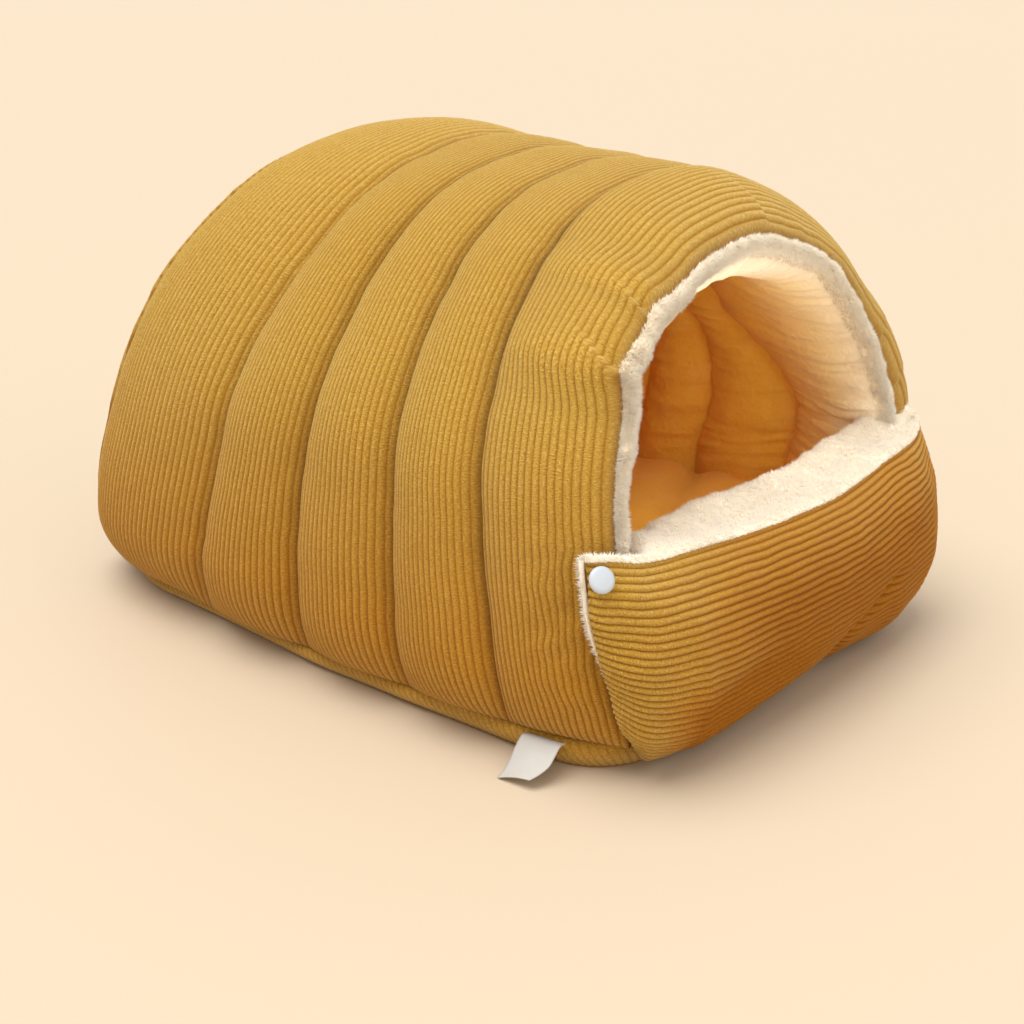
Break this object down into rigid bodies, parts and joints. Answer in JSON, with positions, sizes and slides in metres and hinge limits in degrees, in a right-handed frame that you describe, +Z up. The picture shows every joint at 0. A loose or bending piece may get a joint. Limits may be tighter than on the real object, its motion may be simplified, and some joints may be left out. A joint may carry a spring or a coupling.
{
  "type": "semi-enclosed pet bed",
  "caption": "Padded tunnel-shaped pet bed in ribbed cloth with a quilted arched hood, plush lining, open front and a snap-up padded front flap.",
  "frame": {"origin": "centre of the base's flat underside, on the surface the bed stands on", "axes": "+X to the right seen from the front, +Y from the mouth towards the back, +Z up"},
  "size_m": [0.3853, 0.5268, 0.3099],
  "materials": {
    "corduroy": "wide-wale mustard corduroy, matt with a soft pile sheen along the ribs",
    "plush": "short cream plush pile, matt",
    "snap": "smooth white moulded cap",
    "label": "plain white satin ribbon, blank"
  },
  "bodies": {
    "root": {"hood_quilt": "corduroy", "hood_lining": "plush", "back_panel": "corduroy", "back_lining": "plush", "base_pad": "corduroy", "floor_mat": "plush", "front_flap": "corduroy", "flap_lining": "plush", "snap_cap_left": "snap", "snap_cap_right": "snap", "label": "label"}
  },
  "joints": []
}
